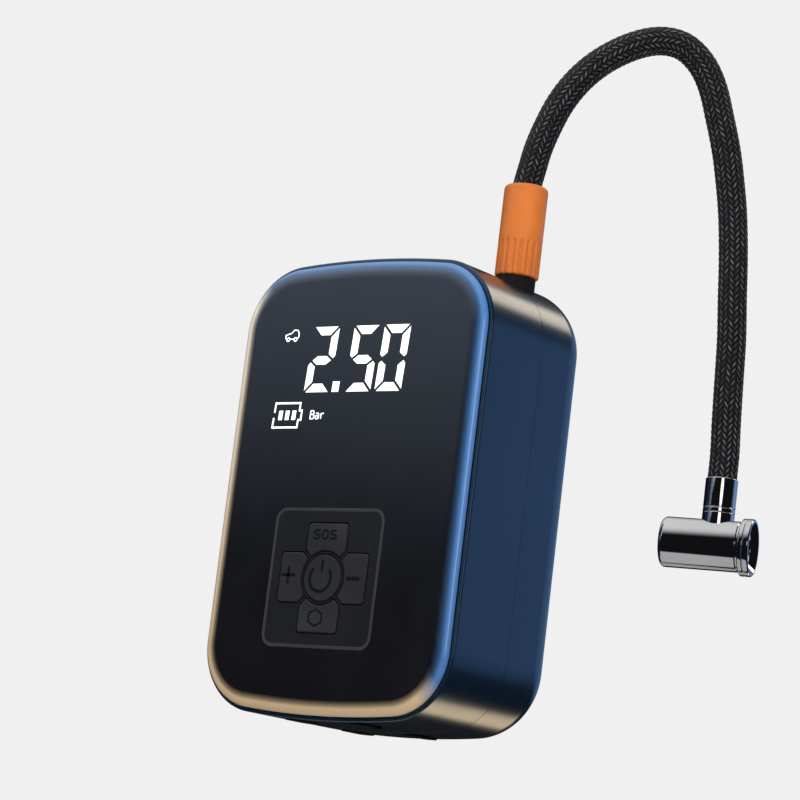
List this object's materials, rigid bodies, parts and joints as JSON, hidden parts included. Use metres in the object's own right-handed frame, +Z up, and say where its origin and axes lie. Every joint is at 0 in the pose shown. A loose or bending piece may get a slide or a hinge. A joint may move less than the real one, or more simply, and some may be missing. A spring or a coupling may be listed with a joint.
{
  "type": "portable tire inflator",
  "caption": "Upright cordless tire inflator with a glossy display panel, keypad, inner piston pump and battery, and a short braided hose with a push-on valve chuck.",
  "frame": {"origin": "middle of the case's footprint on the surface it stands on", "axes": "+Z up, front panel faces -Y, hose leaves the top near +X"},
  "size_m": [0.1472, 0.0845, 0.2233],
  "materials": {
    "case_paint": "glossy metallic blue",
    "panel_gloss": "piano gloss",
    "black_plastic": "fine texture",
    "button_black": "soft touch",
    "grey_trim": "satin",
    "black_rubber": "matt",
    "orange_plastic": "satin",
    "hose_braid": "braided sleeve",
    "chrome": "polished",
    "brass": "turned",
    "steel": "machined",
    "alloy": "die cast",
    "screw_black": "black oxide",
    "circuit_board": "solder mask",
    "display_glass": "dark filter",
    "clear_lens": "frosted",
    "cell_wrap": "shrink wrap",
    "nickel": "plain",
    "magnet": "sintered",
    "copper": "enamelled",
    "nylon": "natural",
    "lead_red": "plain",
    "clear_tube": "silicone"
  },
  "bodies": {
    "case": {"front_panel": "panel_gloss", "front_frame": "black_plastic", "keypad_ring": "grey_trim", "keypad_plate": "black_plastic", "keypad_membrane": "black_rubber", "tact_switches": "steel", "display_module": "display_glass", "main_pcb": "circuit_board", "usb_port": "steel", "main_housing": "case_paint", "rear_cover": "case_paint", "rear_screws": "screw_black", "feet": "black_rubber", "light_lens": "clear_lens", "light_board": "circuit_board", "battery_cell_1": "cell_wrap", "battery_cell_2": "cell_wrap", "battery_cell_3": "cell_wrap", "battery_holder": "black_plastic", "cell_tabs": "nickel", "wiring": "lead_red", "motor_can": "steel", "motor_endcap": "nylon", "motor_magnets": "magnet", "gearbox_frame": "alloy", "crank_bearing": "steel", "pump_cylinder": "alloy", "head_gasket": "black_rubber", "cylinder_head": "alloy", "head_screws": "steel", "reed_valve": "steel", "outlet_port": "brass", "port_seat": "black_rubber", "sensor_tube": "clear_tube", "pressure_sensor": "black_plastic"},
    "button_power": {"button_power": "button_black"},
    "button_light": {"button_light": "button_black"},
    "button_minus": {"button_minus": "button_black"},
    "button_mode": {"button_mode": "button_black"},
    "button_plus": {"button_plus": "button_black"},
    "motor_rotor": {"motor_armature": "copper", "motor_shaft": "steel", "pinion": "brass", "cooling_fan": "black_plastic"},
    "crank": {"crank_gear": "nylon", "crank_shaft": "steel", "crank_pin": "steel"},
    "piston": {"connecting_rod": "alloy", "rod_bearing": "steel", "piston_seal": "black_rubber"},
    "hose_set": {"hose_spigot": "brass", "hose": "hose_braid", "hose_ferrule": "chrome", "chuck_body": "chrome", "chuck_end_cap": "chrome", "chuck_seal": "black_rubber", "chuck_nose": "chrome"},
    "collar": {"hose_collar": "orange_plastic"},
    "depressor": {"depressor_pin": "brass", "depressor_spring": "steel"}
  },
  "joints": [
    {"name": "button_power_press", "type": "slide", "parent": "case", "child": "button_power", "axis": [0, 1, 0], "range_m": [0, 0.0005], "stiffness_N_per_m": 2000},
    {"name": "button_light_press", "type": "slide", "parent": "case", "child": "button_light", "axis": [0, 1, 0], "range_m": [0, 0.0005], "stiffness_N_per_m": 2000},
    {"name": "button_minus_press", "type": "slide", "parent": "case", "child": "button_minus", "axis": [0, 1, 0], "range_m": [0, 0.0005], "stiffness_N_per_m": 2000},
    {"name": "button_mode_press", "type": "slide", "parent": "case", "child": "button_mode", "axis": [0, 1, 0], "range_m": [0, 0.0005], "stiffness_N_per_m": 2000},
    {"name": "button_plus_press", "type": "slide", "parent": "case", "child": "button_plus", "axis": [0, 1, 0], "range_m": [0, 0.0005], "stiffness_N_per_m": 2000},
    {"name": "crank_spin", "type": "hinge", "parent": "case", "child": "crank", "pos_m": [0.018, 0, 0.089], "axis": [0, 1, 0], "continuous": true},
    {"name": "motor_spin", "type": "hinge", "parent": "case", "child": "motor_rotor", "pos_m": [-0.008, 0, 0.09358], "axis": [0, 1, 0], "continuous": true},
    {"name": "piston_stroke", "type": "slide", "parent": "case", "child": "piston", "axis": [0, 0, -1], "range_m": [0, 0.012]},
    {"name": "hose_lift", "type": "slide", "parent": "case", "child": "hose_set", "axis": [0, 0, 1], "range_m": [0, 0.006]},
    {"name": "collar_turn", "type": "hinge", "parent": "hose_set", "child": "collar", "pos_m": [0.033, 0.003, 0.145], "axis": [0, 0, 1], "range_deg": [0, 1440]},
    {"name": "depressor_press", "type": "slide", "parent": "hose_set", "child": "depressor", "axis": [-0.9397, -0.342, 0], "range_m": [0, 0.0015], "stiffness_N_per_m": 1500}
  ],
  "couplings": [
    {"joint": "motor_spin", "follows": "crank_spin", "ratio": -4.5},
    {"joint": "collar_turn", "follows": "hose_lift", "rad_per_m": 4188.8}
  ]
}
